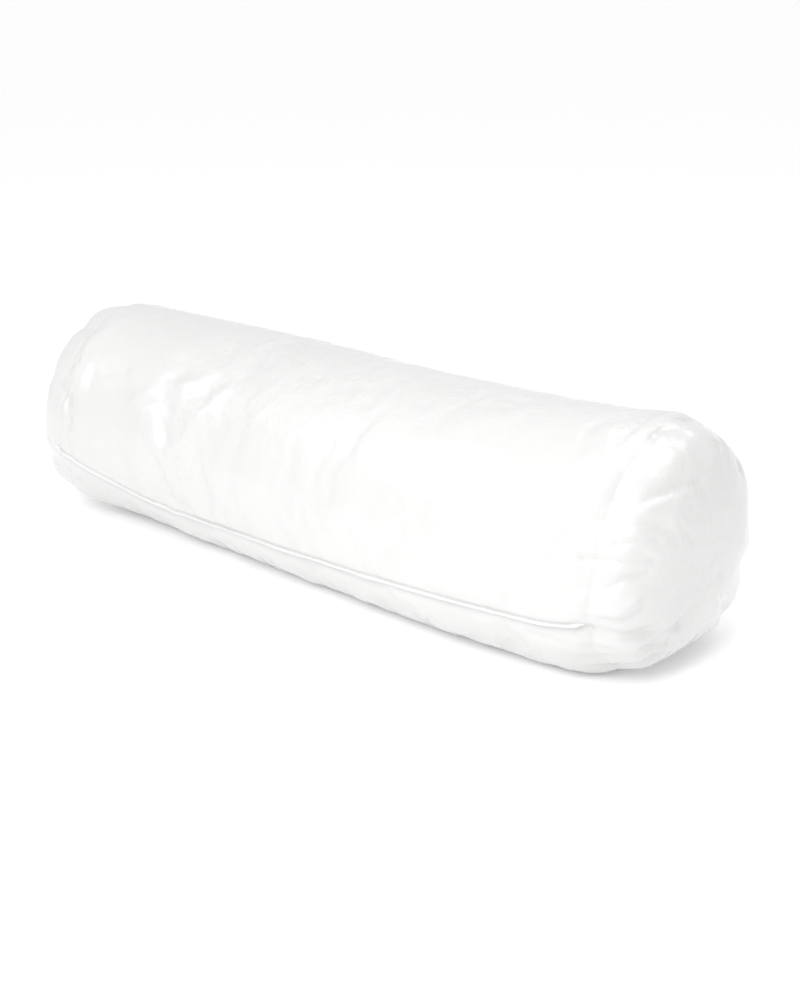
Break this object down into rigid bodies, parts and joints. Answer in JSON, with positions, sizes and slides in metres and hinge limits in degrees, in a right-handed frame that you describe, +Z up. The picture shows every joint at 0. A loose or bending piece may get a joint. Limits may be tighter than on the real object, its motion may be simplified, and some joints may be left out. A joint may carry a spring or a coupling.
{
  "type": "bolster cushion insert",
  "caption": "White cloth bolster insert, a soft filled cylinder lying on its side, with a round panel sewn into each end and a closing seam low along the front.",
  "frame": {"origin": "under the middle of the insert, on the surface it rests on", "axes": "+X along the insert, +Z up, -Y towards the front with the closing seam"},
  "size_m": [0.701, 0.2148, 0.1983],
  "materials": {
    "white_cloth": "closely woven white cotton with a slight sheen"
  },
  "bodies": {
    "root": {"bolster_insert": "white_cloth"}
  },
  "joints": []
}
